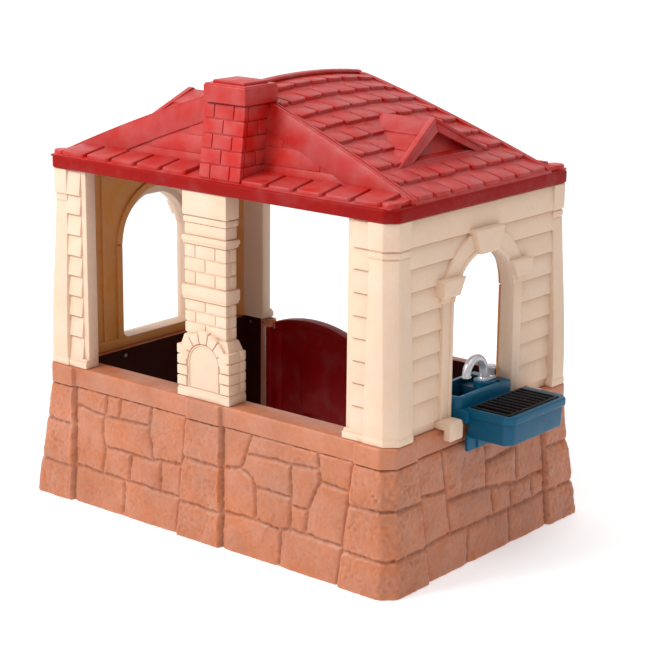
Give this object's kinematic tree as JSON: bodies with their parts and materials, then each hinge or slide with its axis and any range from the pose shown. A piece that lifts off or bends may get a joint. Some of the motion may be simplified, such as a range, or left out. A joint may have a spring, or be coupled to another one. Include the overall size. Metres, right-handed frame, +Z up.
{
  "type": "plastic playhouse",
  "caption": "Children's plastic play house with stone-look base, arched end windows, gable roof with chimney, half door on pins, fireplace column, and a sink and grill over one end wall.",
  "frame": {"origin": "on the floor, at the middle of the overall footprint, grill box included", "axes": "+X towards the end wall with the sink and grill, +Y towards the door side, +Z up"},
  "size_m": [1.408, 0.89, 1.217],
  "materials": {
    "stone_plastic": "moulded polyethylene with a fine pebbled grain",
    "cream_plastic": "moulded polyethylene with a fine satin grain",
    "roof_plastic": "moulded polyethylene, satin",
    "door_plastic": "moulded polyethylene, smooth",
    "teal_plastic": "moulded polyethylene, smooth",
    "grate_plastic": "moulded plastic, satin black",
    "silver_plastic": "silver-coloured plastic",
    "screw_steel": "zinc plated"
  },
  "bodies": {
    "root": {"lower_left_end": "stone_plastic", "lower_right_end": "stone_plastic", "lower_front_panel": "stone_plastic", "lower_back_panel": "stone_plastic", "upper_left_end": "cream_plastic", "upper_right_end": "cream_plastic", "fireplace_column": "cream_plastic", "roof_shell": "roof_plastic", "chimney": "roof_plastic", "sink_grill_unit": "teal_plastic", "grill_grate": "grate_plastic", "faucet_base": "silver_plastic", "upper_hinge_bracket": "stone_plastic", "lower_hinge_bracket": "stone_plastic", "upper_hinge_pin": "screw_steel", "lower_hinge_pin": "screw_steel", "lower_wall_screws": "screw_steel", "upper_wall_screws": "screw_steel", "roof_screws": "screw_steel", "fireplace_screws": "screw_steel", "sink_screws": "screw_steel", "chimney_screws": "screw_steel", "hinge_bracket_screws": "screw_steel"},
    "door": {"half_door": "door_plastic"},
    "spout": {"faucet_spout": "silver_plastic"},
    "handle": {"faucet_handle": "silver_plastic"}
  },
  "joints": [
    {"name": "door_hinge", "type": "hinge", "parent": "root", "child": "door", "pos_m": [-0.506, 0.3835, 0.2], "axis": [0, 0, 1], "range_deg": [0, 90]},
    {"name": "spout_swivel", "type": "hinge", "parent": "root", "child": "spout", "pos_m": [0.498, 0.072, 0.44], "axis": [0, 0, 1], "range_deg": [-60, 60]},
    {"name": "handle_turn", "type": "hinge", "parent": "root", "child": "handle", "pos_m": [0.498, 0.105, 0.44], "axis": [0, 0, 1], "range_deg": [0, 90]}
  ]
}
